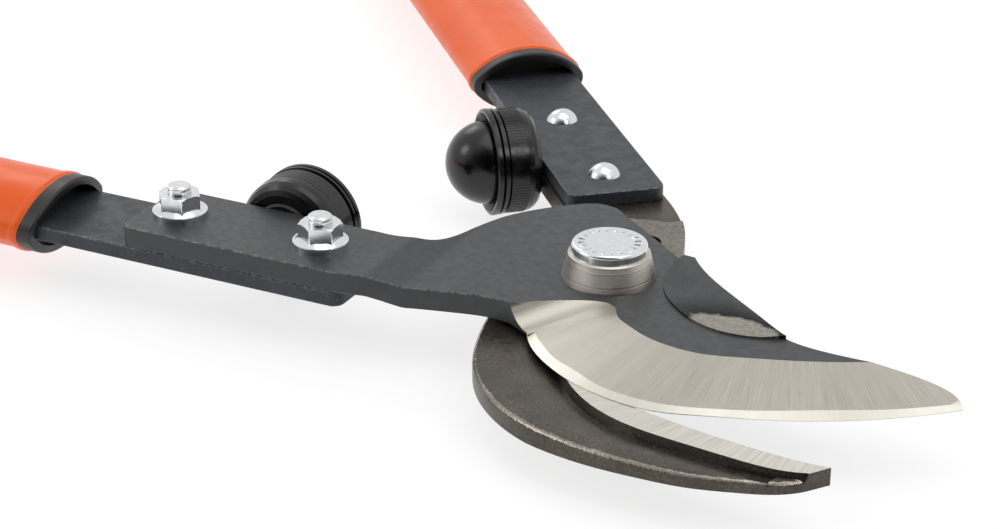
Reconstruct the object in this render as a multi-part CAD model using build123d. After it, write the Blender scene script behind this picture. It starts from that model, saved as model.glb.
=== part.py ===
from build123d import *
import math
import os

# Bypass loppers lying on their side, jaws ahead along +X and handles open behind.
# Origin: on the pivot axis, at the underside of the pivot nut. +Z is up.
# Each half is drawn in a frame of its own, with its handle running along -X,
# and is then turned about the pivot by half the angle between the handles.

os.makedirs("parts", exist_ok=True)

# Driving dimensions, in millimetres and degrees
handle_angle = 48.7         # between the two handles as modelled
running_gap = 0.05          # between faces and round fits that turn on each other
seat_gap = 0.05             # between pieces that are pushed together

blade_thickness = 5.5       # cutting blade
counter_thickness = 5.0     # counter blade, without its ground lands
land_height = 1.5           # ground lands standing above the counter blade
joggle_rise = 2.5           # the cutting blade's tang steps up by this much
joggle_start = -42.0
joggle_end = -51.0
edge_thickness = 0.15       # flat left along the cutting edge
pad_step = 0.5              # height of the spine pad at its rim
pad_rear_height = 2.0       # its crest, near the pivot
pad_front_height = 0.9      # and where it fades out
pad_roll_radius = 26.0
run_out_radius = 8.3        # hollow left by the grinding wheel at the heel
micro_height = 1.0          # height of the honed edge above the shear plane

bar_width = 27.3
bar_thickness = 4.0
bar_start = -57.3           # pivot-side end of both handle bars
bar_end = -250.0            # end of the bars, inside the handle tubes
cutting_bar_y = -21.0       # middle of the cutting side's bar and tang
counter_bar_y = 19.9        # middle of the counter side's bar and tang
cutting_tang_width = 27.3
counter_tang_width = 28.4
cutting_tang_end = -121.0
counter_tang_end = -118.5
corner_radius = 3.0
hook_rounding = 1.2         # along the counter blade's outer upper edge

near_bolt_x = -70.0
bolt_spacing = 41.6
bolt_radius = 3.0
bolt_head_height = 3.0
bolt_end_length = 2.2       # thread showing past its nut
neck_length = 3.0           # square neck under the domed head
nut_flat = 10.0             # flange nut, across its flats
nut_height = 6.0
flange_radius = 7.1
flange_height = 1.3
skirt_height = 1.0          # cone between the flange and the flats
left_nut_turns = (30.0, 8.0)
right_nut_turns = (0.0, 20.0)

pivot_radius = 6.0          # shoulder that both blades turn on
pivot_thread_radius = 5.0
pivot_head_radius = 9.5
pivot_head_height = 2.5
cone_height = 6.8
cone_base_radius = 11.8
cone_top_radius = 10.2
washer_radius = 11.0
washer_thickness = 1.5
pivot_nut_flat = 17.0
pivot_nut_height = 8.0
lock_ring_radius = 6.9      # nylon ring set in the pivot nut
lock_ring_height = 2.0
lock_ring_low = 0.6         # height of the ring's groove above the nut's outer end

tube_width = 33.6
tube_depth = 20.0
tube_end_radius = 4.5       # sharper ends of the oval section
tube_wall = 1.6
tube_start = -151.5
tube_stop = -492.0
rim_length = 3.0            # rolled rim at the tube's mouth
rim_bulge = 0.4
rim_rounding = 1.0
collar_start = -147.0       # front of the black collar
mouth_slant = 13.0          # the tubes and collars are cut this far off square, longest on top
collar_recess = 4.0
collar_wall = 2.2
collar_rounding = 0.7
insert_end = -254.0
cap_length = 8.0            # end cap outside the tube
cap_plug_length = 22.0
rivet_x = -240.0
rivet_radius = 2.5
rivet_head_radius = 4.5
rivet_head_height = 1.2

left_bumper_x = -89.2
right_bumper_x = -90.2
cup_wall = 2.8              # from the rubber dome to the outside of its cup
lip_bulge = 0.4
cup_lip = 8.15              # lip's distance from the line through the pivot
cup_floor = 1.5             # floor that the rubber dome sits on
dome_radius = 11.6
dome_centre = 7.7
screw_radius = 1.5
screw_head_radius = 2.75
screw_head_height = 3.0
screw_depth = 9.0           # into the edge of the handle bar
stop_gap = 0.4              # left between the domes when the handles are closed

# Levels above the table
half_angle = handle_angle / 2
counter_bottom = pivot_nut_height + washer_thickness
counter_top = counter_bottom + counter_thickness
shear = counter_top + land_height
blade_top = shear + blade_thickness
tang_bottom = shear + joggle_rise
tang_top = tang_bottom + blade_thickness
bar_bottom = counter_top
bar_top = bar_bottom + bar_thickness
cutting_bar_bottom = tang_bottom - bar_thickness
far_bolt_x = near_bolt_x - bolt_spacing

# Sizes that follow from others
bolt_head_radius = 1.5 * bolt_radius
neck_width = 2 * bolt_radius
cup_radius = dome_radius + cup_wall
lip_radius = cup_radius + lip_bulge


def at_height(points, z):
    return [(x, y, z) for x, y in points]


def between(low, high, share):
    # Points on the straight lines that join two rows of points, or past their ends.
    return [(a[0] + (b[0] - a[0]) * share, a[1] + (b[1] - a[1]) * share) for a, b in zip(low, high)]


def slab(face, bottom, top):
    return Pos(0, 0, bottom) * extrude(face, top - bottom)


def rod(radius, bottom, top, x=0, y=0):
    return Pos(x, y, bottom) * extrude(Circle(radius), top - bottom)


def oval(width, depth, end_radius):
    # Four-arc oval: two wide arcs and two small ends that meet them smoothly.
    reach, rise = width / 2 - end_radius, depth / 2 - end_radius
    drop = (reach**2 - rise**2) / (2 * rise)
    span = math.hypot(reach, drop)
    tx, ty = reach + end_radius * reach / span, end_radius * drop / span
    arcs = [
        ThreePointArc((-tx, ty), (0, depth / 2), (tx, ty)),
        ThreePointArc((tx, ty), (width / 2, 0), (tx, -ty)),
        ThreePointArc((tx, -ty), (0, -depth / 2), (-tx, -ty)),
        ThreePointArc((-tx, -ty), (-width / 2, 0), (-tx, ty)),
    ]
    return make_face(arcs)


def along_handle(face, start, stop, y, z):
    # A section drawn with its width across the handle, pushed back along -X.
    place = Plane(origin=(start, y, z), x_dir=(0, 1, 0), z_dir=(-1, 0, 0))
    return extrude(place * face, start - stop)


def cut_mouth(body, at, y, z):
    # Keeps what lies behind a slanted plane through the middle of the handle.
    slant = math.radians(mouth_slant)
    mouth = Plane(origin=(at, y, z), z_dir=(math.cos(slant), 0, -math.sin(slant)))
    return split(body, bisect_by=mouth, keep=Keep.BOTTOM)


def tang_corner(x, y, turn):
    # Rounded corner of a tang, from its long side to its end.
    r = corner_radius
    middle = r * (1 - math.sqrt(0.5))
    return ThreePointArc((x + r, y), (x + middle, y - turn * middle), (x, y - turn * r))


# ---------------------------------------------------------------- cutting blade
heel = (-14.9, -25.2)
edge_row = [
    (-8.3, -29.1), (-3.3, -36.0), (3.4, -41.8), (11.5, -46.7), (23.6, -50.8),
    (34.2, -51.7), (46.8, -48.2), (60.5, -43.4), (78.4, -34.2), (93.2, -22.9), (101.5, -15.6),
]
micro_row = [
    (-6.2, -28.2), (-1.5, -34.6), (4.9, -40.2), (12.7, -44.5), (24.0, -48.5),
    (34.0, -49.4), (46.3, -46.3), (59.4, -41.6), (77.0, -32.4), (91.9, -21.9), (100.2, -14.6),
]
bevel_row = [
    (7.9, -15.3), (9.6, -17.2), (13.0, -21.0), (18.5, -25.0), (25.5, -28.3),
    (32.5, -29.6), (40.5, -28.7), (50.0, -25.7), (64.0, -19.9), (79.0, -12.0), (89.0, -6.0),
]
blade_tip = (97.6, -18.8)
spine_row = [
    (16.4, 15.9), (24.6, 6.9), (34.4, -0.6), (45.6, -8.8), (52.5, -13.3),
    (61.0, -15.2), (75.0, -15.3), (89.0, -14.9), (95.5, -16.4), blade_tip,
]
back_foot = (13.8, 15.8)
pad_row = [(13.4, 15.6), (12.7, 10.0), (15.0, -0.5), (22.5, -10.0), (34.0, -16.6), (44.0, -16.6), (52.0, -13.0)]


def blade_outline():
    low = cutting_bar_y - cutting_tang_width / 2
    high = cutting_bar_y + cutting_tang_width / 2
    near_row = [(-62, low), (-56.5, low + 0.5), (-50.5, -32.7), (-42, -29.6), (-31, -26.6), (-21, -24.7), heel]
    hump_row = [
        (-12.5, 36.8), (-16.2, 39.6), (-20.4, 40.4), (-25.5, 37.8), (-33.4, 30.0), (-39.8, 20.5),
        (-43.0, 10.0), (-44.9, 1.6), (-48.0, -4.0), (-53.0, high + 0.6), (-60, high),
    ]
    edges = [
        tang_corner(cutting_tang_end, high, 1),
        Line((cutting_tang_end, high - corner_radius), (cutting_tang_end, low + corner_radius)),
        tang_corner(cutting_tang_end, low, -1),
        Line((cutting_tang_end + corner_radius, low), near_row[0]),
        Spline(*near_row),
        Line(heel, edge_row[0]),
        Spline(*edge_row[:-1], blade_tip),
        Spline(*reversed(spine_row)),
        Line(spine_row[0], back_foot),
        Line(back_foot, hump_row[0]),
        Spline(*hump_row),
        Line(hump_row[-1], (cutting_tang_end + corner_radius, high)),
    ]
    return make_face(edges)


def blade_side():
    # Side view: flat blade, joggle, raised tang.
    front, back = 120, cutting_tang_end - 5
    profile = Polyline(
        (front, shear), (joggle_start, shear), (joggle_end, tang_bottom), (back, tang_bottom),
        (back, tang_top), (joggle_end, tang_top), (joggle_start, blade_top), (front, blade_top),
        close=True,
    )
    face = make_face(profile)
    creases = [v for v in face.vertices() if joggle_end - 1 < v.X < joggle_start + 1]
    return extrude(Plane.XZ * fillet(creases, 7), 80, both=True)


def ground_tool(low_row, high_row, low_z, high_z, bottom, top):
    # Everything outside the ruled surface through two rows of points.
    def section(z):
        row = between(low_row, high_row, (z - low_z) / (high_z - low_z))
        lean = z * 1.2
        return make_face(
            [
                Spline(*at_height(row, z)),
                Line((*row[-1], z), (130, -20, z)),
                Line((130, -20, z), (100, -80, z)),
                Line((100, -80, z), (-16 + lean, -80, z)),
                Line((-16 + lean, -80, z), (*row[0], z)),
            ]
        )

    return Pos(0, 0, shear) * loft([section(bottom), section(top)], ruled=True)


def run_out():
    # The round hollow that the grinding wheel leaves at the heel end of the bevel.
    low = Vector(*micro_row[0], shear + micro_height)
    high = Vector(*bevel_row[0], blade_top)
    along = (high - low).normalized()
    across = Vector(0.6, -0.8, 0)
    up = across.cross(along).normalized()
    if up.Z < 0:
        up = up * -1
    start = low + up * run_out_radius - along * 20
    return extrude(Plane(origin=start, z_dir=along) * Circle(run_out_radius), 60)


def spine_pad():
    # Raised pad along the spine: a lens in plan with a low rim, under a roll that dips to the front.
    lens = make_face([Spline(*pad_row), Polyline(pad_row[-1], (60, 10), (25, 30), pad_row[0])])
    rear = Vector(18.5, 11.0, blade_top + pad_rear_height)
    front = Vector(50.0, -12.5, blade_top + pad_front_height)
    along = (front - rear).normalized()
    start = rear - along * 30 - Vector(0, 0, pad_roll_radius)
    roll = extrude(Plane(origin=start, z_dir=along) * Circle(pad_roll_radius), 110)
    rim = slab(Pos(30, 0) * Rectangle(100, 100), blade_top - 1, blade_top + pad_step)
    block = slab(lens, blade_top - 1, blade_top + 4) & slab(blade_outline(), blade_top - 2, blade_top + 5)
    return block & (roll + rim)


def cutting_blade():
    body = slab(blade_outline(), shear - 1, tang_top + 1) & blade_side()
    body = body - ground_tool(edge_row, micro_row, edge_thickness, micro_height, -0.5, 3.0)
    body = body - ground_tool(micro_row, bevel_row, micro_height, blade_thickness, -0.5, 7.5)
    body = body + spine_pad() - run_out()
    body = body.solids().sort_by(SortBy.VOLUME)[-1]
    body = body - rod(pivot_radius + running_gap, shear - 1, blade_top + 1)
    for x in (near_bolt_x, far_bolt_x):
        body = body - rod(bolt_radius + seat_gap, tang_bottom - 1, tang_top + 1, x, cutting_bar_y)
    return body


# ---------------------------------------------------------------- counter blade
bearing_row = [(54.5, -14.6), (65.5, -6.6), (75.4, 1.0), (84.3, 8.8), (92.3, 16.6), (96.5, 22.0)]
throat_row = [
    (-50, 33.9), (-41.4, 32.9), (-27.4, 29.1), (-16.0, 24.7), (2.0, 19.5), (12.5, 12.5),
    (16.2, 1.0), (22.0, -10.4), (32.7, -16.8), (43.9, -17.9), bearing_row[0],
]
outer_row = [
    (98.0, 16.0), (97.9, 9.3), (94.2, 0.0), (89.3, -8.9), (82.3, -17.3), (74.2, -25.5),
    (66.0, -32.0), (55.0, -38.2), (44.0, -41.4), (31.0, -42.0), (20.5, -40.0), (9.0, -35.6),
    (-4.0, -28.8), (-20.0, -17.5), (-38.0, -3.8), (-50.0, 3.0),
]
land_row = [
    (97.8, 16.2), (94.8, 10.4), (87.4, 2.4), (78.7, -5.5), (69.5, -13.4), (60.5, -18.9),
    (50.0, -22.1), (38.0, -22.6), (22.0, -20.5), (6.0, -20.8), (-10.0, -24.0), (-22.0, -30.0),
]
pivot_land_radius = 49.0
hang_hole = (-29.6, 18.8)
hang_hole_radius = 4.35
hook_tip_rise = 2.1         # the hook's underside rises by this much at its tip
land_foot = 0.5             # the lands flare out by this much at their foot
groove_width = 5.0          # hollow along the foot of the hook's land
groove_depth = 0.8


def counter_outline():
    low = counter_bar_y - counter_tang_width / 2
    high = counter_bar_y + counter_tang_width / 2
    edges = [
        tang_corner(counter_tang_end, high, 1),
        Line((counter_tang_end, high - corner_radius), (counter_tang_end, low + corner_radius)),
        tang_corner(counter_tang_end, low, -1),
        Line((counter_tang_end + corner_radius, low), (-62, low)),
        Spline((-62, low), (-57, low - 0.4), *reversed(outer_row)),
        Line(outer_row[0], bearing_row[-1]),
        Spline(*reversed(bearing_row)),
        Spline((-58, high), *throat_row),
        Line((-58, high), (counter_tang_end + corner_radius, high)),
    ]
    return make_face(edges)


def hook_sink(spread):
    # The area outside the hook's land and the near side of the pivot land.
    row = [(x + spread * 0.55, y - spread * 0.83) for x, y in land_row]
    return make_face([Spline(*row), Polyline(row[-1], (-22, -70), (110, -70), (112, 12), row[0])])


def hook_groove():
    def strip(near, far, z):
        inner = [(x + near * 0.55, y - near * 0.83) for x, y in land_row[1:]]
        outer = [(x + far * 0.55, y - far * 0.83) for x, y in land_row[1:]]
        sides = [Spline(*inner), Line(inner[-1], outer[-1]), Spline(*reversed(outer)), Line(outer[0], inner[0])]
        return Pos(0, 0, z) * make_face(sides)

    top = strip(land_foot - 0.1, groove_width * 1.2, counter_top + 0.3)
    floor = strip(land_foot + 0.2, groove_width * 0.4, counter_top - groove_depth)
    return loft([top, floor], ruled=True)


def counter_blade():
    body = slab(counter_outline(), counter_bottom, shear - running_gap)
    deep, shallow = hook_sink(land_foot), hook_sink(-0.4)
    body = body - loft([Pos(0, 0, counter_top) * deep, Pos(0, 0, shear + 0.5) * shallow], ruled=True)
    tang_side = Pos(-105, 10, 0) * Rectangle(130, 140) - Circle(pivot_land_radius)
    body = body - slab(tang_side, counter_top, shear + 1)
    upper_edges = body.edges().filter_by_position(Axis.Z, counter_top, counter_top)
    body = fillet(upper_edges.sort_by(Axis.Y)[0], hook_rounding)
    body = body - hook_groove()
    under = Plane.XZ * make_face(
        Polyline(
            (58, counter_bottom), (108, counter_bottom + hook_tip_rise * 1.25),
            (108, counter_bottom - 2), (58, counter_bottom - 2), close=True,
        )
    )
    body = body - extrude(under, 60, both=True)
    body = body - rod(hang_hole_radius, counter_bottom - 1, shear + 1, *hang_hole)
    body = body - rod(pivot_radius + seat_gap, counter_bottom - 1, shear + 1)
    for x in (near_bolt_x, far_bolt_x):
        body = body - rod(bolt_radius + seat_gap, counter_bottom - 1, counter_top + 1, x, counter_bar_y)
    return body


# ---------------------------------------------------------------- pivot
def pivot_bolt():
    head_bottom = blade_top + running_gap + cone_height
    head = rod(pivot_head_radius, head_bottom, head_bottom + pivot_head_height)
    head = fillet(head.edges().group_by(Axis.Z)[-1], 0.9)
    shoulder = rod(pivot_radius, counter_bottom + seat_gap, head_bottom)
    thread = rod(pivot_thread_radius, 0, counter_bottom + seat_gap)
    thread = chamfer(thread.edges().group_by(Axis.Z)[0], 0.6)
    return head + shoulder + thread


def cone_spacer():
    bottom = blade_top + running_gap
    body = Pos(0, 0, bottom + cone_height / 2) * Cone(cone_base_radius, cone_top_radius, cone_height)
    body = chamfer(body.edges().group_by(Axis.Z)[-1], 0.4)
    return body - rod(pivot_radius + seat_gap, bottom - 1, bottom + cone_height + 1)


def pivot_washer():
    body = rod(washer_radius, pivot_nut_height, counter_bottom)
    return body - rod(pivot_thread_radius + seat_gap, 0, counter_bottom + 1)


def pivot_nut():
    # Lock nut with its nylon ring set in the outer end.
    blank = extrude(RegularPolygon(pivot_nut_flat / 2, 6, major_radius=False), pivot_nut_height)
    corner = pivot_nut_flat / math.sqrt(3)
    rounding = Cylinder(corner + 1, pivot_nut_height, align=(Align.CENTER, Align.CENTER, Align.MIN))
    rounding = chamfer(rounding.edges().group_by(Axis.Z)[0], 1.9)
    body = (blank & rounding) - rod(pivot_thread_radius + seat_gap, -1, pivot_nut_height + 1)
    return body - rod(lock_ring_radius, lock_ring_low, lock_ring_low + lock_ring_height)


def lock_ring():
    bottom, top = lock_ring_low + seat_gap, lock_ring_low + lock_ring_height - seat_gap
    return rod(lock_ring_radius - seat_gap, bottom, top) - rod(pivot_thread_radius + seat_gap, 0, 9)


# ---------------------------------------------------------------- fasteners
def domed_bolt(head_face, direction, length):
    # Domed head, square neck and plain shank; direction is +1 when the shank points up.
    height, radius = bolt_head_height, bolt_head_radius
    ball = (radius**2 + height**2) / (2 * height)
    dome = Pos(0, 0, ball - height) * Sphere(ball) & rod(radius + 1, -height, 0)
    neck = extrude(Rectangle(neck_width, neck_width), neck_length)
    shank = chamfer(rod(bolt_radius, 0, length).edges().group_by(Axis.Z)[-1], 0.5)
    bolt = dome + neck + shank
    if direction < 0:
        bolt = Rot(180, 0, 0) * bolt
    return Pos(0, 0, head_face) * bolt


def flange_nut(seat, direction):
    blank = extrude(RegularPolygon(nut_flat / 2, 6, major_radius=False), nut_height)
    corner = nut_flat / math.sqrt(3)
    rounding = chamfer(rod(corner + 0.3, 0, nut_height).edges().group_by(Axis.Z)[-1], 0.9)
    skirt = Pos(0, 0, flange_height + skirt_height / 2) * Cone(flange_radius - 0.5, corner - 0.6, skirt_height)
    nut = (blank & rounding) + rod(flange_radius, 0, flange_height) + skirt
    nut = nut - rod(bolt_radius + seat_gap, -1, nut_height + 1)
    if direction < 0:
        nut = Rot(180, 0, 0) * nut
    return Pos(0, 0, seat) * nut


def pair(piece, y, turns=(0, 0)):
    places = zip((near_bolt_x, far_bolt_x), turns)
    return Compound([Pos(x, y, 0) * Rot(0, 0, turn) * piece for x, turn in places])


# ---------------------------------------------------------------- handles
def handle_bar(y, bottom, inward):
    plan = Pos((bar_start + bar_end) / 2, y) * Rectangle(bar_start - bar_end, bar_width)
    corners = plan.vertices().sort_by(Axis.X)[-2:]
    body = slab(fillet(corners, corner_radius), bottom, bottom + bar_thickness)
    for x in (near_bolt_x, far_bolt_x):
        hole = Pos(x, y) * Rectangle(neck_width + 2 * seat_gap, neck_width + 2 * seat_gap)
        body = body - slab(hole, bottom - 1, bottom + bar_thickness + 1)
    body = body - rod(rivet_radius + seat_gap, bottom - 1, bottom + bar_thickness + 1, rivet_x, y)
    inner_edge = y + inward * bar_width / 2
    drilled = Plane(origin=(bumper_place(inward), inner_edge, bottom + bar_thickness / 2), z_dir=(0, -inward, 0))
    return body - extrude(drilled * Circle(screw_radius + seat_gap), screw_depth + 0.5)


def handle_tube(y, middle):
    wide, deep, end = tube_width + 2 * rim_bulge, tube_depth + 2 * rim_bulge, tube_end_radius + rim_bulge
    outer = along_handle(oval(tube_width, tube_depth, tube_end_radius), tube_start + 5, tube_stop, y, middle)
    outer = cut_mouth(outer, tube_start, y, middle)
    rim = along_handle(oval(wide, deep, end), tube_start + 5, tube_start - 10, y, middle)
    rim = cut_mouth(rim, tube_start, y, middle)
    rim = rim - cut_mouth(rim, tube_start - rim_length, y, middle)
    rim = fillet(rim.faces().sort_by(Axis.X)[-1].edges(), rim_rounding)
    tube = outer + rim - along_handle(bore_face(), tube_start + 6, tube_stop - 1, y, middle)
    return tube - rod(rivet_radius + seat_gap, middle - 30, middle + 30, rivet_x, y)


def bore_face(clearance=0.0):
    shrink = 2 * (tube_wall + clearance)
    return oval(tube_width - shrink, tube_depth - shrink, tube_end_radius - tube_wall - clearance)


def tube_insert(y, middle):
    # Black collar with a recessed mouth, and the plug behind it that fills the tube.
    collar = along_handle(
        oval(tube_width, tube_depth, tube_end_radius), collar_start + 5, tube_start - 5, y, middle
    )
    collar = cut_mouth(collar, collar_start, y, middle)
    collar = collar - cut_mouth(collar, tube_start + seat_gap, y, middle)
    collar = fillet(collar.faces().sort_by(Axis.X)[-1].edges(), collar_rounding)
    shrink = 2 * collar_wall
    mouth = oval(tube_width - shrink, tube_depth - shrink, tube_end_radius - collar_wall)
    plug = along_handle(bore_face(seat_gap), collar_start - collar_recess, insert_end, y, middle)
    body = collar + plug - along_handle(mouth, collar_start + 6, collar_start - collar_recess, y, middle)
    slot = Rectangle(bar_width + 2 * seat_gap, bar_thickness + 2 * seat_gap)
    body = body - along_handle(slot, collar_start + 1, bar_end - seat_gap, y, middle)
    return body - rod(rivet_radius + seat_gap, middle - 30, middle + 30, rivet_x, y)


def end_cap(y, middle):
    plug = along_handle(bore_face(seat_gap), tube_stop + cap_plug_length, tube_stop - 1, y, middle)
    cap = along_handle(
        oval(tube_width + 2 * rim_bulge, tube_depth + 2 * rim_bulge, tube_end_radius + rim_bulge),
        tube_stop - seat_gap, tube_stop - cap_length, y, middle,
    )
    cap = fillet([e for e in cap.edges() if e.center().X < tube_stop - cap_length + 0.1], 3.2)
    return plug + cap


def tube_rivet(y, middle):
    half = tube_depth / 2
    ball = (rivet_head_radius**2 + rivet_head_height**2) / (2 * rivet_head_height)
    dome = Pos(0, 0, rivet_head_height - ball) * Sphere(ball) & rod(9, 0, rivet_head_height)
    head = Pos(0, 0, half + seat_gap) * dome
    shank = rod(rivet_radius, -half - 2 * seat_gap, half + 2 * seat_gap)
    return Pos(rivet_x, y, middle) * (shank + head + Rot(180, 0, 0) * head)


# ---------------------------------------------------------------- bumpers
def bumper_place(inward):
    return left_bumper_x if inward > 0 else right_bumper_x


def turned(profile, inward, middle):
    # A turned piece: radii against distance from the line through the pivot.
    face = make_face(Polyline(*profile, close=True))
    solid = revolve(Plane.XZ * face, Axis.Z)
    return Pos(bumper_place(inward), 0, middle) * (Rot(-90 * inward, 0, 0) * solid)


def bumper_back(y, inward):
    # The cups sit against the wider of bar and tang.
    tang = cutting_tang_width if inward > 0 else counter_tang_width
    return inward * y + max(bar_width, tang) / 2


def bumper_cup(y, inward, middle):
    back = bumper_back(y, inward)
    well = dome_radius + seat_gap
    profile = [
        (screw_radius + seat_gap, back), (8.5, back), (9.0, back + 0.6), (11.2, back + 0.6),
        (cup_radius - 1.8, back + 1.1), (cup_radius - 0.8, back + 2.1),
        (cup_radius - 0.2, back + 3.4), (cup_radius, back + 5.0),
        (cup_radius, cup_lip - 3.9), (cup_radius - 0.7, cup_lip - 3.6),
        (cup_radius - 0.7, cup_lip - 3.2), (lip_radius - 0.1, cup_lip - 2.9), (lip_radius - 0.1, cup_lip - 2.2),
        (lip_radius - 0.8, cup_lip - 1.9), (lip_radius, cup_lip - 1.5), (lip_radius, cup_lip - 0.4),
        (lip_radius - 0.5, cup_lip), (lip_radius - 1.1, cup_lip), (well + 1.4, cup_lip - 1.2),
        (well, cup_lip - 3.6), (well, back + cup_floor), (screw_radius + seat_gap, back + cup_floor),
    ]
    return turned(profile, inward, middle)


def bumper_dome(y, inward, middle):
    floor = bumper_back(y, inward) + cup_floor + seat_gap
    room = screw_head_radius + 0.4
    hollow = floor + screw_head_height + 0.5
    body = turned([(0, hollow), (room, hollow), (room, floor), (dome_radius, floor),
                   (dome_radius, dome_centre), (0, dome_centre)], inward, middle)
    ball = Pos(bumper_place(inward), inward * dome_centre, middle) * Sphere(dome_radius)
    front = Pos(bumper_place(inward), inward * (dome_centre + 15), middle) * Box(40, 30, 40)
    return body + (ball & front)


def bumper_screw(y, inward, middle):
    back = bumper_back(y, inward)
    seat = back + cup_floor + seat_gap
    profile = [
        (0, back - screw_depth), (screw_radius, back - screw_depth), (screw_radius, seat),
        (screw_head_radius, seat), (screw_head_radius, seat + screw_head_height), (0, seat + screw_head_height),
    ]
    body = turned(profile, inward, middle)
    face = Plane(
        origin=(bumper_place(inward), inward * (seat + screw_head_height), middle), z_dir=(0, -inward, 0)
    )
    return body - extrude(face * RegularPolygon(1.25, 6, major_radius=False), 1.6)


# ---------------------------------------------------------------- the assembly
def handle_side(side, y, inward, bar_low):
    middle = bar_low + bar_thickness / 2
    return {
        f"{side}_handle_bar": handle_bar(y, bar_low, inward),
        f"{side}_handle_tube": handle_tube(y, middle),
        f"{side}_tube_insert": tube_insert(y, middle),
        f"{side}_end_cap": end_cap(y, middle),
        f"{side}_tube_rivet": tube_rivet(y, middle),
        f"{side}_bumper_cup": bumper_cup(y, inward, middle),
        f"{side}_bumper_dome": bumper_dome(y, inward, middle),
        f"{side}_bumper_screw": bumper_screw(y, inward, middle),
    }


def cutting_side():
    length = tang_top - cutting_bar_bottom + nut_height + bolt_end_length
    pieces = handle_side("left", cutting_bar_y, 1, cutting_bar_bottom)
    pieces["cutting_blade"] = cutting_blade()
    pieces["left_handle_bolts"] = pair(domed_bolt(cutting_bar_bottom, 1, length), cutting_bar_y)
    pieces["left_handle_nuts"] = pair(flange_nut(tang_top, 1), cutting_bar_y, left_nut_turns)
    return pieces


def counter_side():
    length = bar_top - counter_bottom + nut_height + bolt_end_length
    pieces = handle_side("right", counter_bar_y, -1, bar_bottom)
    pieces["counter_blade"] = counter_blade()
    pieces["right_handle_bolts"] = pair(domed_bolt(bar_top, -1, length), counter_bar_y)
    pieces["right_handle_nuts"] = pair(flange_nut(counter_bottom, -1), counter_bar_y, right_nut_turns)
    pieces["pivot_bolt"] = pivot_bolt()
    pieces["cone_spacer"] = cone_spacer()
    pieces["pivot_washer"] = pivot_washer()
    pieces["pivot_nut"] = pivot_nut()
    pieces["lock_ring"] = lock_ring()
    return pieces


for pieces, turn in ((cutting_side(), half_angle), (counter_side(), -half_angle)):
    for name, shape in pieces.items():
        export_step(Rot(0, 0, turn) * shape, f"parts/{name}.step")

# The handles close until the two rubber domes are stop_gap apart.
left_reach = math.hypot(left_bumper_x, dome_centre)
right_reach = math.hypot(right_bumper_x, dome_centre)
apart = 2 * dome_radius + stop_gap
spread = math.acos((left_reach**2 + right_reach**2 - apart**2) / (2 * left_reach * right_reach))
lean = math.atan2(dome_centre, -left_bumper_x) + math.atan2(dome_centre, -right_bumper_x)
print("closing travel", round(handle_angle - math.degrees(spread + lean), 2), "degrees")
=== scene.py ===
import math
import bmesh
import bpy
from mathutils import Matrix, Vector


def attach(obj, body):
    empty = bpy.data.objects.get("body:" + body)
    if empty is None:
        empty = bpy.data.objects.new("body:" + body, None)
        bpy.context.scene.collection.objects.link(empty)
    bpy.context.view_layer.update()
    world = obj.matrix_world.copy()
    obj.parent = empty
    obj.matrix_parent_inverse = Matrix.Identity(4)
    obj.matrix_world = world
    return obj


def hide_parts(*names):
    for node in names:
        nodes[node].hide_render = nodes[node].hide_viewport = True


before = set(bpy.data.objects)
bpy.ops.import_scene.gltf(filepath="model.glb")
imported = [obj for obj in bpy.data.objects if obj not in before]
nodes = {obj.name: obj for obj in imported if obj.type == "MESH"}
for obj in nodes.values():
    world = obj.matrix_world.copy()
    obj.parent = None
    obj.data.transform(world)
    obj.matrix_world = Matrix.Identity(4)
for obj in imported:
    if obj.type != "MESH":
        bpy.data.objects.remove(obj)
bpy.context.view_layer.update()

mm = 0.001

# Each half is turned away from the X axis by half the angle between the handles
halfAngle = math.radians(24.35)
turns = {"cutting_side": halfAngle, "counter_side": -halfAngle}


def toLinear(channel):
    return channel / 12.92 if channel <= 0.04045 else ((channel + 0.055) / 1.055) ** 2.4


def colour(hexCode):
    # sRGB hex to the linear colour that Blender's sockets take
    return tuple(toLinear(int(hexCode[i : i + 2], 16) / 255) for i in (1, 3, 5)) + (1.0,)


def grain(size):
    # noise scale that gives features of this many millimetres on Object coordinates
    return 1 / (size * mm)


def firstOut(node):
    return next(socket for socket in node.outputs if socket.enabled)


def add(tree, kind, values=None, **settings):
    # Adds a node. A node or socket given as a value is linked, a hex code is a colour, the rest is set.
    node = tree.nodes.new(kind if "Node" in kind else "ShaderNode" + kind)
    for name, value in settings.items():
        setattr(node, name, value)
    for name, value in (values or {}).items():
        if isinstance(name, int):
            socket = node.inputs[name]
        else:
            socket = next(one for one in node.inputs if one.name == name and one.enabled)
        if isinstance(value, bpy.types.Node):
            value = firstOut(value)
        if isinstance(value, bpy.types.NodeSocket):
            tree.links.new(value, socket)
        else:
            socket.default_value = colour(value) if isinstance(value, str) else value
    return node


def link(tree, shader, **sources):
    for name, node in sources.items():
        tree.links.new(firstOut(node), shader.inputs[name.replace("_", " ")])


cameraSizes = {
    "turn": 50.7,           # degrees round from the jaws' left side
    "height": 24.56,        # degrees above the table
    "roll": 0.47,
    "distance": 686.1 * mm,
    "lookAt": (-19.5 * mm, -18.85 * mm, 22.9 * mm),
    "focalLength": 99.43,
    "sensorWidth": 36,
    "clip": (0.05, 20),     # nearest and furthest that is drawn, in metres
}


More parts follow.
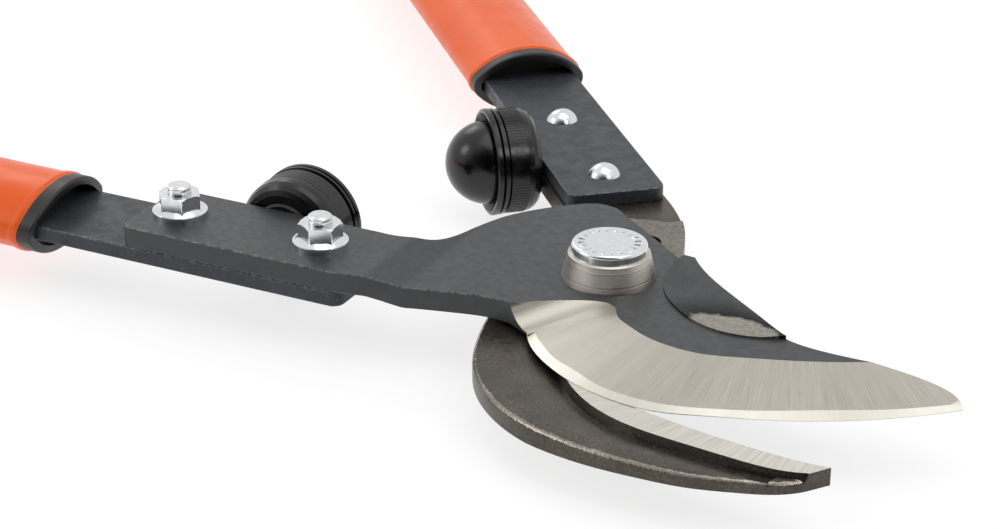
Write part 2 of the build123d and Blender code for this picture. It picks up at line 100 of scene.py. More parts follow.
def placeCamera():
    s = cameraSizes
    turn, height, roll = (math.radians(s[k]) for k in ("turn", "height", "roll"))
    forward = Vector((
        -math.sin(turn) * math.cos(height),
        math.cos(turn) * math.cos(height),
        -math.sin(height),
    ))
    right = Vector((math.cos(turn), math.sin(turn), 0))
    up = right.cross(forward)
    leanRight = right * math.cos(roll) + up * math.sin(roll)
    leanUp = up * math.cos(roll) - right * math.sin(roll)
    place = Vector(s["lookAt"]) - forward * s["distance"]
    data = bpy.data.cameras.new("camera")
    data.lens = s["focalLength"]
    data.sensor_width = s["sensorWidth"]
    data.clip_start, data.clip_end = s["clip"]
    cam = bpy.data.objects.new("camera", data)
    cam.matrix_world = Matrix((
        (leanRight.x, leanUp.x, -forward.x, place.x),
        (leanRight.y, leanUp.y, -forward.y, place.y),
        (leanRight.z, leanUp.z, -forward.z, place.z),
        (0, 0, 0, 1),
    ))
    bpy.context.collection.objects.link(cam)
    bpy.context.scene.camera = cam


studioSizes = {
    "skyStrength": 0.88,
    "openSide": (0.774, -0.633, 0.0),   # where the white tent is open, and dark
    "openEdge": (0.25, 0.8),            # the tent fades to the dark between these: 1 faces the opening
    "tentColour": "#ffffff",
    "openColour": "#2c2d30",
    "lights": (                         # name, place, width in metres, watts
        ("top", (0.2, 0.1, 1.5), 1.2, 4.5),
        ("left", (-0.75, -0.95, 0.75), 0.4, 2.0),
        ("right", (0.95, 0.0, 0.85), 0.35, 1.8),
        ("back", (-1.3, 0.3, 0.9), 0.5, 1.8),
    ),
    "floorSide": 4.0,
    "floorGlow": 0.78,
}


def placeLights():
    s = studioSizes
    world = bpy.data.worlds.new("studio")
    world.use_nodes = True
    tree = world.node_tree
    tree.nodes.clear()
    # a white tent, open and dark in front, so that bright metal has something dark to mirror
    way = add(tree, "TexCoord").outputs["Generated"]
    openSide = Vector(s["openSide"]).normalized()
    facing = add(tree, "VectorMath", {0: way, 1: openSide}, operation="DOT_PRODUCT").outputs["Value"]
    start, end = s["openEdge"]
    share = add(tree, "MapRange", {"Value": facing, "From Min": start, "From Max": end},
                interpolation_type="SMOOTHSTEP")
    tent = add(tree, "Mix", {"Factor": share, "A": s["tentColour"], "B": s["openColour"]}, data_type="RGBA")
    sky = add(tree, "Background", {"Color": tent, "Strength": s["skyStrength"]})
    add(tree, "OutputWorld", {"Surface": sky})
    bpy.context.scene.world = world
    for name, spot, size, power in s["lights"]:
        data = bpy.data.lights.new(name, "AREA")
        data.size, data.energy = size, power
        lamp = bpy.data.objects.new(name, data)
        lamp.location = spot
        lamp.rotation_euler = (-Vector(spot)).to_track_quat("-Z", "Y").to_euler()
        bpy.context.collection.objects.link(lamp)
    bpy.context.scene.view_settings.view_transform = "Standard"


def layFloor():
    side = studioSizes["floorSide"]
    mesh = bpy.data.meshes.new("floor")
    corners = [(-side, -side, 0), (side, -side, 0), (side, side, 0), (-side, side, 0)]
    mesh.from_pydata(corners, [], [(0, 1, 2, 3)])
    mesh.materials.append(litTable())
    floor = bpy.data.objects.new("floor", mesh)
    bpy.context.collection.objects.link(floor)


def newMaterial(name, **shaderValues):
    material = bpy.data.materials.new(name)
    material.use_nodes = True
    shader = material.node_tree.nodes["Principled BSDF"]
    for key, value in shaderValues.items():
        shader.inputs[key.replace("_", " ")].default_value = value
    return material, material.node_tree, shader


def ownSpace(tree, turn=0.0, centre=(0, 0, 0)):
    # Object coordinates measured from a centre and turned with one half of the loppers
    spot = add(tree, "TexCoord").outputs["Object"]
    return add(tree, "Mapping", {"Vector": spot, "Location": centre, "Rotation": (0, 0, turn)},
               vector_type="TEXTURE")


def patches(tree, spot, size, start=0.35, end=0.65, low=0.0, high=1.0, detail=4.0):
    # a noise of this size in millimetres, whose values from start to end become low to high
    clouds = add(tree, "TexNoise", {
        "Vector": spot, "Scale": grain(size), "Detail": detail, "Roughness": 0.6})
    return add(tree, "MapRange", {
        "Value": clouds, "From Min": start, "From Max": end, "To Min": low, "To Max": high})


def relief(tree, *layers):
    # bumps on bumps: each layer is a height, its depth in millimetres and its strength
    normal = None
    for height, depth, strength in layers:
        values = {"Height": height, "Distance": depth * mm, "Strength": strength}
        if normal:
            values["Normal"] = normal
        normal = add(tree, "Bump", values)
    return normal


def litTable():
    # Sheet of matt acrylic, lit a little from below, so that shadows on it stay pale
    material, tree, shader = newMaterial("litTable", Roughness=0.9, Emission_Color=colour("#ffffff"),
                                         Emission_Strength=studioSizes["floorGlow"])
    faint = patches(tree, ownSpace(tree), 40)
    tone = add(tree, "Mix", {"Factor": faint, "A": "#828282", "B": "#858585"}, data_type="RGBA")
    link(tree, shader, Base_Color=tone)
    return material


def coatedSteel():
    # Blade steel under a thin black slip coating: dark satin grey that pales where it mirrors the sky
    material, tree, shader = newMaterial("coatedSteel", IOR=1.5)
    spot = ownSpace(tree)
    fine = patches(tree, spot, 0.7)
    cloudy = patches(tree, spot, 7.0)
    tone = add(tree, "Mix", {"Factor": cloudy, "A": "#303234", "B": "#353739"}, data_type="RGBA")
    specks = patches(tree, spot, 0.5, start=0.68, end=0.76, high=0.35)
    tone = add(tree, "Mix", {"Factor": specks, "A": tone, "B": "#6c6e70"}, data_type="RGBA")
    bumps = relief(tree, (patches(tree, spot, 3.0), 0.05, 0.08), (fine, 0.02, 0.4))
    link(tree, shader, Base_Color=tone, Roughness=patches(tree, spot, 2.2, low=0.34, high=0.5), Normal=bumps)
    return material


def rubbedEdgeAndHighlight(name, coat, bare):
    # Edge where handling has rubbed the black finish down to a pale line in places; the pale line is partly
    # real wear and partly a painted highlight where light catches the rounded edge
    material, tree, shader = newMaterial(name, Roughness=0.38)
    spot = ownSpace(tree)
    wearAndHighlight = patches(tree, spot, 0.9, start=0.4, end=0.66)
    # pale mix: partly rubbed-through finish, partly painted highlight along the edge
    tone = add(tree, "Mix", {"Factor": wearAndHighlight, "A": coat, "B": bare}, data_type="RGBA")
    metal = add(tree, "MapRange", {"Value": wearAndHighlight, "To Min": 0.1, "To Max": 0.8})
    bumps = relief(tree, (patches(tree, spot, 0.5), 0.03, 0.6))
    link(tree, shader, Base_Color=tone, Metallic=metal, Normal=bumps)
    return material


grindSizes = {
    "centre": (40.0, 22.0),     # the edge is an arc round this point, so the wheel's marks run towards it
    "radius": 73.0,
    "markWidth": 0.35,          # real marks are near 0.05 mm; drawn this coarse so that they show
    "bandWidth": 6.0,
    "drawnOut": 0.03,           # distances across the edge shrink to this share, which stretches the marks
}


def acrossEdge(tree, turn, s):
    # coordinates that run along the arc of the edge, with the pattern drawn out across it
    centre = Matrix.Rotation(turn, 3, "Z") @ Vector((s["centre"][0] * mm, s["centre"][1] * mm, 0))
    spot = ownSpace(tree, turn, centre)
    parts = add(tree, "SeparateXYZ", {0: spot}).outputs
    angle = add(tree, "Math", {0: parts["Y"], 1: parts["X"]}, operation="ARCTAN2")
    along = add(tree, "Math", {0: angle, 1: s["radius"] * mm}, operation="MULTIPLY")
    reach = add(tree, "VectorMath", {0: spot}, operation="LENGTH").outputs["Value"]
    drawnOut = add(tree, "Math", {0: reach, 1: s["drawnOut"]}, operation="MULTIPLY")
    return add(tree, "CombineXYZ", {"X": along, "Y": drawnOut})


def groundSteel(name, turn, dark, light, roughness):
    # Bare steel off a grinding wheel: pale and warm, with marks straight across the edge
    s = grindSizes
    material, tree, shader = newMaterial(name, Metallic=1.0)
    spot = acrossEdge(tree, turn, s)
    marks = patches(tree, spot, s["markWidth"], detail=6)
    bands = patches(tree, spot, s["bandWidth"], start=0.2, end=0.8, detail=1)
    both = add(tree, "Math", {0: marks, 1: bands}, operation="ADD")
    share = add(tree, "Math", {0: both, 1: 0.5}, operation="MULTIPLY")      # their mean
    tone = add(tree, "Mix", {"Factor": share, "A": dark, "B": light}, data_type="RGBA")
    satin = add(tree, "MapRange", {"Value": marks, "To Min": roughness - 0.07, "To Max": roughness + 0.09})
    link(tree, shader, Base_Color=tone, Roughness=satin, Normal=relief(tree, (marks, 0.02, 0.4)))
    return material


padSizes = {
    "centre": (39.5, -14.2, 22.0),
    "turn": -9.0,                   # degrees
    "half": (12.5, 5.0, 12.0),      # of the polished patch
    "ragged": 1.6,                  # size of the notches in its outline
    "coatStarts": (1.12, 1.32),     # steel gives way to coating between these: 1 is the patch's outline
    "paintedDarkBand": (1.35, 2.7),        # painted dark reflection round the patch: the coating is darkest at the first and fades until the second
}


def rubbedPad():
    # The pad's flank, where wood slides past it: coating polished through to pitted steel, ringed by a
    # painted dark band that stands in for the dark that the curved flank reflects
    s = padSizes
    material, tree, shader = newMaterial("rubbedPad")
    centre = Matrix.Rotation(halfAngle, 3, "Z") @ (Vector(s["centre"]) * mm)
    patch = ownSpace(tree, halfAngle + math.radians(s["turn"]), centre)
    patch = add(tree, "VectorMath", {0: patch, 1: [1 / (h * mm) for h in s["half"]]}, operation="MULTIPLY")
    reach = add(tree, "VectorMath", {0: patch}, operation="LENGTH").outputs["Value"]
    spot = ownSpace(tree)
    notches = patches(tree, spot, s["ragged"], start=0, end=1, high=0.55)
    reach = add(tree, "Math", {0: reach, 1: notches}, operation="ADD")
    start, end = s["coatStarts"]
    bare = add(tree, "MapRange", {
        "Value": reach, "From Min": start, "From Max": end, "To Min": 1, "To Max": 0})
    start, end = s["paintedDarkBand"]
    paintedShade = add(tree, "MapRange", {
        "Value": reach, "From Min": start, "From Max": end, "To Min": 0.9, "To Max": 0})
    cloudy = patches(tree, spot, 6.0)
    coat = add(tree, "Mix", {"Factor": cloudy, "A": "#232527", "B": "#303234"}, data_type="RGBA")
    # painted reflection: in a band round the patch the coating is mixed towards near black
    coat = add(tree, "Mix", {"Factor": paintedShade, "A": coat, "B": "#08090a"}, data_type="RGBA")
    pits = patches(tree, spot, 0.8)
    steel = add(tree, "Mix", {"Factor": pits, "A": "#88837a", "B": "#aaa69b"}, data_type="RGBA")
    tone = add(tree, "Mix", {"Factor": bare, "A": coat, "B": steel}, data_type="RGBA")
    depth = add(tree, "Math", {0: pits, 1: bare}, operation="MULTIPLY")
    # the specular level drops inside the painted dark band, to darken its painted reflection further
    gloss = add(tree, "MapRange", {"Value": paintedShade, "To Min": 0.5, "To Max": 0.08})
    satin = patches(tree, spot, 0.8, low=0.32, high=0.48)
    link(tree, shader, Base_Color=tone, Metallic=bare, Roughness=satin, Specular_IOR_Level=gloss,
         Normal=relief(tree, (depth, 0.04, 0.3)))
    return material


def forgedSteel(name, dark, light, roughness):
    # Hot-forged steel, tumbled and oiled: brown-grey, with the fine orange-peel grain of the die
    material, tree, shader = newMaterial(name, Metallic=0.75)
    spot = ownSpace(tree)
    peel = patches(tree, spot, 0.7, start=0.3, end=0.7, detail=5)
    cloudy = patches(tree, spot, 11.0, start=0.2, end=0.8)
    share = add(tree, "Math", {0: peel, 1: cloudy}, operation="MULTIPLY")
    tone = add(tree, "Mix", {"Factor": share, "A": dark, "B": light}, data_type="RGBA")
    glints = patches(tree, spot, 0.45, start=0.66, end=0.74, high=0.7, detail=2)
    tone = add(tree, "Mix", {"Factor": glints, "A": tone, "B": "#8d867c"}, data_type="RGBA")
    satin = add(tree, "MapRange", {"Value": peel, "To Min": roughness - 0.1, "To Max": roughness + 0.12})
    link(tree, shader, Base_Color=tone, Roughness=satin,
         Normal=relief(tree, (cloudy, 0.4, 0.15), (peel, 0.05, 0.45)))
    return material


landSizes = {
    "change": (8.0, 20.0),      # along the counter blade: matt by the pivot, ground on the hook
    "centre": (40.0, 60.0),
    "radius": 70.0,
    "markWidth": 0.6,
    "drawnOut": 0.03,
}


def counterLand():
    # The hook's land is ground bright; round the pivot the same level is only faced, and has dulled
    s = landSizes
    material, tree, shader = newMaterial("counterLand", Metallic=1.0)
    along = add(tree, "SeparateXYZ", {0: ownSpace(tree, -halfAngle)}).outputs["X"]
    start, end = (place * mm for place in s["change"])
    ground = add(tree, "MapRange", {"Value": along, "From Min": start, "From Max": end})
    marks = patches(tree, acrossEdge(tree, -halfAngle, s), s["markWidth"], detail=6)
    bright = add(tree, "Mix", {"Factor": marks, "A": "#cbc7bd", "B": "#e2dfd6"}, data_type="RGBA")
    mottle = patches(tree, ownSpace(tree), 1.2)
    dull = add(tree, "Mix", {"Factor": mottle, "A": "#6e6a62", "B": "#8d887e"}, data_type="RGBA")
    tone = add(tree, "Mix", {"Factor": ground, "A": dull, "B": bright}, data_type="RGBA")
    satin = add(tree, "MapRange", {"Value": marks, "To Min": 0.34, "To Max": 0.5})
    link(tree, shader, Base_Color=tone, Roughness=satin, Normal=relief(tree, (marks, 0.02, 0.4)))
    return material


def blackenedBar():
    # Rolled flat bar, blackened in a hot salt bath: blue-grey black, matt, with a rolled-scale speckle
    material, tree, shader = newMaterial("blackenedBar", IOR=1.45)
    spot = ownSpace(tree)
    scale = patches(tree, spot, 0.9, start=0.3, end=0.7, detail=5)
    cloudy = patches(tree, spot, 14.0)
    tone = add(tree, "Mix", {"Factor": cloudy, "A": "#2a2d31", "B": "#33373c"}, data_type="RGBA")
    specks = patches(tree, spot, 0.7, start=0.56, end=0.74, high=0.6, detail=5)
    tone = add(tree, "Mix", {"Factor": specks, "A": tone, "B": "#59606a"}, data_type="RGBA")
    link(tree, shader, Base_Color=tone, Roughness=patches(tree, spot, 4.0, low=0.38, high=0.56),
         Normal=relief(tree, (scale, 0.05, 0.6)))
    return material


def zincPlate():
    # Bright zinc plating: near-white metal, mirror-like but for a soft mottle
    material, tree, shader = newMaterial("zincPlate", Metallic=1.0)
    spot = ownSpace(tree)
    mottle = patches(tree, spot, 1.2, start=0.3, end=0.7, detail=2)
    tone = add(tree, "Mix", {"Factor": mottle, "A": "#dcdfe0", "B": "#e6e8e9"}, data_type="RGBA")
    link(tree, shader, Base_Color=tone, Roughness=patches(tree, spot, 3.0, low=0.19, high=0.26),
         Normal=relief(tree, (mottle, 0.03, 0.08)))
    return material


def turnedSteel():
    # Lathe-turned steel, oil-browned: fine rings round the cone
    material, tree, shader = newMaterial("turnedSteel", Metallic=1.0)
    parts = add(tree, "SeparateXYZ", {0: ownSpace(tree)}).outputs
    level = add(tree, "CombineXYZ", {"Z": parts["Z"]})
    rings = patches(tree, level, 0.45, detail=6)
    tone = add(tree, "Mix", {"Factor": rings, "A": "#a9a39b", "B": "#ddd8d0"}, data_type="RGBA")
    satin = add(tree, "MapRange", {"Value": rings, "To Min": 0.26, "To Max": 0.42})
    link(tree, shader, Base_Color=tone, Roughness=satin, Normal=relief(tree, (rings, 0.05, 0.6)))
    return material


def mouldedPlastic(name, dark, light, roughness, texture=0.6, dust=None):
    # Moulded nylon or rubber: softly glossy, with the mould's fine texture, and dusty if dust has a colour
    material, tree, shader = newMaterial(name, IOR=1.5)
    spot = ownSpace(tree)
    tone = add(tree, "Mix", {"Factor": patches(tree, spot, 5.0), "A": dark, "B": light}, data_type="RGBA")
    if dust:
        film = patches(tree, spot, 1.1, start=0.6, end=0.75, high=0.3, detail=5)
        tone = add(tree, "Mix", {"Factor": film, "A": tone, "B": dust}, data_type="RGBA")
    satin = patches(tree, spot, 5.0, low=roughness, high=roughness + 0.14)
    link(tree, shader, Base_Color=tone, Roughness=satin,
         Normal=relief(tree, (patches(tree, spot, texture), 0.03, 0.5)))
    return material


def orangeEnamel():
    # Stove enamel on aluminium tube: saturated orange with a soft gloss and faint orange peel
    material, tree, shader = newMaterial("orangeEnamel", Specular_IOR_Level=0.3, Coat_Weight=0.06,
                                         Coat_Roughness=0.12)
    spot = ownSpace(tree)
    cloudy = patches(tree, spot, 18.0)
    tone = add(tree, "Mix", {"Factor": cloudy, "A": "#e75806", "B": "#ee5f0a"}, data_type="RGBA")
    pits = patches(tree, spot, 0.6, start=0.66, end=0.78, high=0.3)
    tone = add(tree, "Mix", {"Factor": pits, "A": tone, "B": "#c94304"}, data_type="RGBA")
    link(tree, shader, Base_Color=tone, Roughness=patches(tree, spot, 6.0, low=0.28, high=0.4),
         Normal=relief(tree, (patches(tree, spot, 1.6), 0.03, 0.3)))
    return material


print("stage: studio")
placeCamera()
placeLights()
layFloor()

print("stage: materials")
finishes = {
    "coatedSteel": coatedSteel(),
    "coatedEdge": rubbedEdgeAndHighlight("coatedEdge", "#35373a", "#807e79"),
    "groundBevel": groundSteel("groundBevel", halfAngle, "#aaa59b", "#c1bcb2", roughness=0.34),
    "honedEdge": groundSteel("honedEdge", halfAngle, "#c6c2b7", "#dedad0", roughness=0.36),
    "rubbedPad": rubbedPad(),
    "forgedSteel": forgedSteel("forgedSteel", "#3e3934", "#7a7269", roughness=0.34),
    # darker copy on the steep wall under the land: partly forge scale, partly painted shade in the hollow
    "forgedWallScaleAndShade": forgedSteel("forgedWallScaleAndShade", "#2e2a26", "#544d46", roughness=0.36),
    # lighter, glossier copy on the hook's outward rounding: a painted highlight
    "forgedRidgeHighlight": forgedSteel("forgedRidgeHighlight", "#7d766c", "#c4bdb2", roughness=0.24),
    "counterLand": counterLand(),
    "blackenedBar": blackenedBar(),
    "barEdge": rubbedEdgeAndHighlight("barEdge", "#2b2e33", "#6f7379"),
    "zincPlate": zincPlate(),
    "turnedSteel": turnedSteel(),
    "blackNylon": mouldedPlastic("blackNylon", "#12100f", "#221f1c", roughness=0.34),
    "blackRubber": mouldedPlastic("blackRubber", "#030303", "#080808", roughness=0.14, texture=0.8,
                                  dust="#33312e"),
    "whiteNylon": mouldedPlastic("whiteNylon", "#d9d8d2", "#ecebe6", roughness=0.4),
    "orangeEnamel": orangeEnamel(),
}


copySizes = {
    "weld": 1e-6,           # metres: corners closer than this become one
    "flat": 0.05,           # degrees: faces that bend less than this become one
    "sharpAngle": 28,       # degrees: a sharper bend is drawn as an edge
    "bevelSegments": 2,
}


# A copy of a metal piece with softened edges and a finish for each face
def dressedCopy(node, piece, body, looks, zoneOf=None, edge=None, keepCrisp=None,
                sharpAngle=copySizes["sharpAngle"]):
    s = copySizes
    shell = bmesh.new()
    shell.from_mesh(nodes[node].data)
    bmesh.ops.remove_doubles(shell, verts=shell.verts, dist=s["weld"])
    flat, sharp = math.radians(s["flat"]), math.radians(sharpAngle)
    bmesh.ops.dissolve_limit(shell, angle_limit=flat, verts=shell.verts, edges=shell.edges)
    back = Matrix.Rotation(-turns[body], 3, "Z")
    for face in shell.faces:
        face.smooth = True
        if zoneOf:
            corners = [back @ v.co / mm for v in face.verts]
            face.material_index = looks.index(zoneOf(corners, back @ face.normal))
    weight = shell.edges.layers.float.new("bevel_weight_edge")
    for e in shell.edges:
        if len(e.link_faces) != 2:
            continue
        first, second = e.link_faces
        bend = e.calc_face_angle(0)
        e.smooth = bend < sharp and first.material_index == second.material_index
        if edge and bend > sharp and e.is_convex:
            corners = [back @ v.co / mm for v in e.verts]
            e[weight] = 0.0 if keepCrisp and keepCrisp(corners) else 1.0
    mesh = bpy.data.meshes.new(piece)
    shell.to_mesh(mesh)
    shell.free()
    for look in looks:
        mesh.materials.append(finishes[look])
    copy = bpy.data.objects.new(piece, mesh)
    bpy.context.collection.objects.link(copy)
    if edge:
        bevel = copy.modifiers.new("softEdges", "BEVEL")
        bevel.limit_method = "WEIGHT"
        bevel.width, bevel.segments = edge * mm, s["bevelSegments"]
        bevel.use_clamp_overlap = False
        bevel.harden_normals = True
        bevel.material = len(looks) - 1 if looks[-1].endswith("Edge") else -1
    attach(copy, body)
    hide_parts(node)


bladeSizes = {
    "shear": 16.0,                  # level of the underside, which slides past the hook
    "thickness": 5.5,
    "slack": 0.02,                  # how far a face may be off its level
    "honedHeight": 1.5,             # the honed edge lies below this
    "honedTilt": (-0.5, 0.958),     # and the height of its normal is between these
    "bevelTilt": 0.3,               # the ground bevel's is more than this
    "heel": -16.0,                  # the ground faces start here
    "padStart": 10.0,
    "softEdge": 0.35,
    "crispBelow": 0.5,              # edges that start lower than this stay sharp
    "crispFrom": -17.0,             # and so do those ahead of this
}


def bladeZone(corners, normal):
    s = bladeSizes
    heights = [c.z - s["shear"] for c in corners]
    x = sum(c.x for c in corners) / len(corners)
    least, most = s["honedTilt"]
    if x > s["padStart"] and max(heights) > s["thickness"] + s["slack"]:
        return "rubbedPad"
    if x > s["heel"] and least < normal.z < most and max(heights) < s["honedHeight"]:
        return "honedEdge"
    if x > s["heel"] and normal.z > s["bevelTilt"] and min(heights) < s["thickness"] - s["slack"]:
        return "groundBevel"
    return "coatedSteel"


def bladeCrisp(corners):
    # the underside and everything from just behind the heel forward stay sharp
    s = bladeSizes
    low = min(c.z for c in corners) - s["shear"]
    x = sum(c.x for c in corners) / 2
    return low < s["crispBelow"] or x > s["crispFrom"]


hookSizes = {
    "landLevel": 15.95,
    "landTilt": 0.9,                # a normal on the land is higher than this
    "bodyLevel": 14.5,
    "rounding": 1.2,
    "slack": 0.02,                  # how far a face may be off its level
    "tangEnds": -10.0,              # behind this the steel is as forged
    "hollowRise": 0.1,              # the hollow's wall reaches further than this above the body
    "hollowTilt": 0.6,              # and is steep: its normal is lower than this
    "ridgeSide": (0.55, -0.83),     # the way that the ridge faces, along and across
    "ridgeFacing": 0.2,
    "ridgeTilt": (0.45, 0.97),
    "sharpAngle": 50,               # degrees
}


def hookZone(corners, normal):
    s = hookSizes
    low, high = min(c.z for c in corners), max(c.z for c in corners)
    x = sum(c.x for c in corners) / len(corners)
    outward = normal.x * s["ridgeSide"][0] + normal.y * s["ridgeSide"][1]
    least, most = s["ridgeTilt"]
    if low > s["landLevel"] - s["slack"] and normal.z > s["landTilt"]:
        return "counterLand"
    if x < s["tangEnds"] or low < s["bodyLevel"] - s["rounding"]:
        return "forgedSteel"
    # the steep wall under the land gets the darker copy: partly scale, partly painted shade
    if high > s["bodyLevel"] + s["hollowRise"] and abs(normal.z) < s["hollowTilt"]:
        return "forgedWallScaleAndShade"
    # faces of the rounding that turn outward get the painted highlight copy
    if outward > s["ridgeFacing"] and least < normal.z < most and high < s["bodyLevel"] + s["slack"]:
        return "forgedRidgeHighlight"
    return "forgedSteel"


print("stage: blades")
dressedCopy("cutting_blade", "cuttingBlade", "cutting_side",
            ["coatedSteel", "groundBevel", "honedEdge", "rubbedPad", "coatedEdge"],
            bladeZone, bladeSizes["softEdge"], bladeCrisp)
dressedCopy("counter_blade", "counterBlade", "counter_side",
            ["forgedSteel", "forgedWallScaleAndShade", "forgedRidgeHighlight", "counterLand"], hookZone,
            sharpAngle=hookSizes["sharpAngle"])

barSizes = {"softEdge": 0.4}
nutSizes = {
    "softEdge": 0.25,
    "uprightEdge": 1.0,         # an edge that climbs this far is a corner of the hexagon
}


def nutCrisp(corners):
    # only the hexagon's corners are softened
    return abs(corners[0].z - corners[1].z) < nutSizes["uprightEdge"]


print("stage: handles and fasteners")
for side, body in (("left", "cutting_side"), ("right", "counter_side")):
    dressedCopy(f"{side}_handle_bar", f"{side}Bar", body, ["blackenedBar", "barEdge"],
                edge=barSizes["softEdge"])
    dressedCopy(f"{side}_handle_nuts", f"{side}Nuts", body, ["zincPlate"],
                edge=nutSizes["softEdge"], keepCrisp=nutCrisp)


def newTree(name, **inputs):
    tree = bpy.data.node_groups.new(name, "GeometryNodeTree")
    tree.interface.new_socket("Geometry", in_out="INPUT", socket_type="NodeSocketGeometry")
    tree.interface.new_socket("Geometry", in_out="OUTPUT", socket_type="NodeSocketGeometry")
    for key, kind in inputs.items():
        tree.interface.new_socket(key, in_out="INPUT", socket_type=kind)
    return tree, tree.nodes.new("NodeGroupInput").outputs


def finishTree(tree, shape, finish):
    solid = add(tree, "GeometryNodeRealizeInstances", {"Geometry": shape})
    painted = add(tree, "GeometryNodeSetMaterial", {"Geometry": solid, "Material": finishes[finish]})
    add(tree, "NodeGroupOutput", {"Geometry": painted})
    return tree


def madeBy(tree, piece, points, body, slotName, **sizes):
    # runs a tree on a few points, keeps the result as a plain mesh and lets it ride on a body
    seed = bpy.data.meshes.new(piece + "Points")
    seed.from_pydata([tuple(p) for p in points], [], [])
    maker = bpy.data.objects.new(piece + "Maker", seed)
    bpy.context.collection.objects.link(maker)
    modifier = maker.modifiers.new("made", "NODES")
    modifier.node_group = tree
    sockets = {item.name: item.identifier for item in tree.interface.items_tree if item.in_out == "INPUT"}
    for name, value in sizes.items():
        modifier[sockets[name]] = value
    graph = bpy.context.evaluated_depsgraph_get()
    mesh = bpy.data.meshes.new_from_object(maker.evaluated_get(graph), depsgraph=graph)
    mesh.name = piece
    bpy.data.objects.remove(maker)
    shape = bpy.data.objects.new(piece, mesh)
    bpy.context.collection.objects.link(shape)
    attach(shape, body)


def threadTree():
    # a stack of thin rings at each point: the thread turns that show past a nut
    tree, given = newTree("boltThread", Radius="NodeSocketFloat", Wire="NodeSocketFloat",
                          Pitch="NodeSocketFloat", Count="NodeSocketInt")
    ring = add(tree, "GeometryNodeCurvePrimitiveCircle", {"Resolution": 40, "Radius": given["Radius"]})
    crest = add(tree, "GeometryNodeCurvePrimitiveCircle", {"Resolution": 6, "Radius": given["Wire"]})
    turn = add(tree, "GeometryNodeCurveToMesh", {"Curve": ring, "Profile Curve": crest})
    step = add(tree, "CombineXYZ", {"Z": given["Pitch"]})
    line = add(tree, "GeometryNodeMeshLine", {"Count": given["Count"], "Offset": step})
    stack = add(tree, "GeometryNodeInstanceOnPoints", {"Points": line, "Instance": turn})
    points = add(tree, "GeometryNodeMeshToPoints", {"Mesh": given["Geometry"]})
    bolts = add(tree, "GeometryNodeInstanceOnPoints", {"Points": points, "Instance": stack})
    return finishTree(tree, bolts, "zincPlate")


def spokesTree(name, finish):
    # small bars set round a circle, each with its length along the radius or, turned up, along the axis
    tree, given = newTree(name, Count="NodeSocketInt", Radius="NodeSocketFloat", Bar="NodeSocketVector",
                          Tilt="NodeSocketVector", Rounding="NodeSocketInt")
    circle = add(tree, "GeometryNodeMeshCircle", {"Vertices": given["Count"], "Radius": given["Radius"]})
    bar = add(tree, "GeometryNodeMeshCube", {"Size": given["Bar"]})
    rounded = add(tree, "GeometryNodeSubdivisionSurface", {
        "Mesh": bar, "Level": given["Rounding"], "Edge Crease": 0.75})
    place = add(tree, "GeometryNodeInputPosition")
    outward = add(tree, "FunctionNodeAlignRotationToVector", {"Vector": place}, axis="X", pivot_axis="Z")
    spokes = add(tree, "GeometryNodeInstanceOnPoints", {
        "Points": circle, "Instance": rounded, "Rotation": outward})
    points = add(tree, "GeometryNodeMeshToPoints", {"Mesh": given["Geometry"]})
    tilt = add(tree, "FunctionNodeEulerToRotation", {0: given["Tilt"]})
    sets = add(tree, "GeometryNodeInstanceOnPoints", {
        "Points": points, "Instance": spokes, "Rotation": tilt})
    return finishTree(tree, sets, finish)


def inHalf(body, x, y, z):
    # a place given along and across one handle, in millimetres, as a place in the frame
    return Matrix.Rotation(turns[body], 3, "Z") @ (Vector((x, y, z)) * mm)


boltSizes = {
    "along": (-70.0, -111.6),
    "left": (-21.0, 30.0),      # across the handle, and the level of the nuts' outer faces
    "right": (19.9, 3.5),
    "gap": 0.6,                 # from that face to the first turn
    "radius": 2.85,
    "wire": 0.28,
    "pitch": 1.0,
    "turns": 2,
}


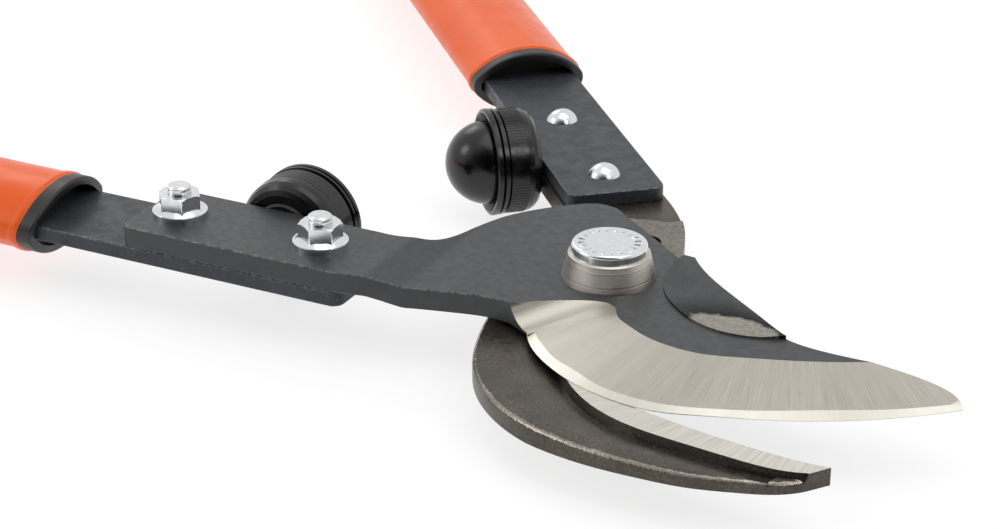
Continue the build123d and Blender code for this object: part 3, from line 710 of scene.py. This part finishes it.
def showThreads():
    s = boltSizes
    thread = threadTree()
    for piece, body, (across, face), way in (("leftThreads", "cutting_side", s["left"], 1),
                                             ("rightThreads", "counter_side", s["right"], -1)):
        starts = [inHalf(body, along, across, face + way * s["gap"]) for along in s["along"]]
        madeBy(thread, piece, starts, body, "zinc", Radius=s["radius"] * mm, Wire=s["wire"] * mm,
               Pitch=way * s["pitch"] * mm, Count=s["turns"])


headSizes = {
    "marks": 20,
    "radius": 7.0,
    "bar": (2.0, 0.75, 0.5),    # each mark's length, width and depth
    "level": 30.85,
}


def markPivotHead():
    s = headSizes
    madeBy(spokesTree("headMarks", "zincPlate"), "pivotMarks", [(0, 0, s["level"] * mm)], "counter_side",
           "zinc", Count=s["marks"], Radius=s["radius"] * mm, Bar=[b * mm for b in s["bar"]], Rounding=1)


ribSizes = {
    "ribs": 96,
    "radius": 14.38,
    "bar": (0.2, 0.34, 5.2),    # each rib stands out, is wide and is long
    "left": (-89.2, 1.6),       # along and across the handle
    "right": (-90.2, -1.6),
    "height": 16.5,
}


def ribCups():
    s = ribSizes
    ribs = spokesTree("cupRibs", "blackRubber")
    for piece, body, (along, across) in (("leftCupRibs", "cutting_side", s["left"]),
                                         ("rightCupRibs", "counter_side", s["right"])):
        madeBy(ribs, piece, [inHalf(body, along, across, s["height"])], body, "black_rubber",
               Count=s["ribs"], Radius=s["radius"] * mm, Bar=[b * mm for b in s["bar"]],
               Tilt=(math.radians(90), 0, turns[body]), Rounding=0)


print("stage: threads, marks and ribs")
showThreads()
markPivotHead()
ribCups()

# The pieces that stay as they are in the frame
carried = {
    "handle_bolts": "zincPlate",
    "pivot_bolt": "zincPlate",
    "pivot_nut": "zincPlate",
    "pivot_washer": "zincPlate",
    "cone_spacer": "turnedSteel",
    "lock_ring": "whiteNylon",
    "handle_tube": "orangeEnamel",
    "tube_insert": "blackNylon",
    "end_cap": "blackNylon",
    "tube_rivet": "zincPlate",
    "bumper_cup": "blackRubber",
    "bumper_dome": "blackRubber",
    "bumper_screw": "zincPlate",
}
print("stage: finishes on the carried-over pieces")
for name, node in nodes.items():
    finish = carried.get(name) or carried.get(name.split("_", 1)[1])
    if finish:
        for place in node.material_slots:
            place.link = "OBJECT"
            place.material = finishes[finish]
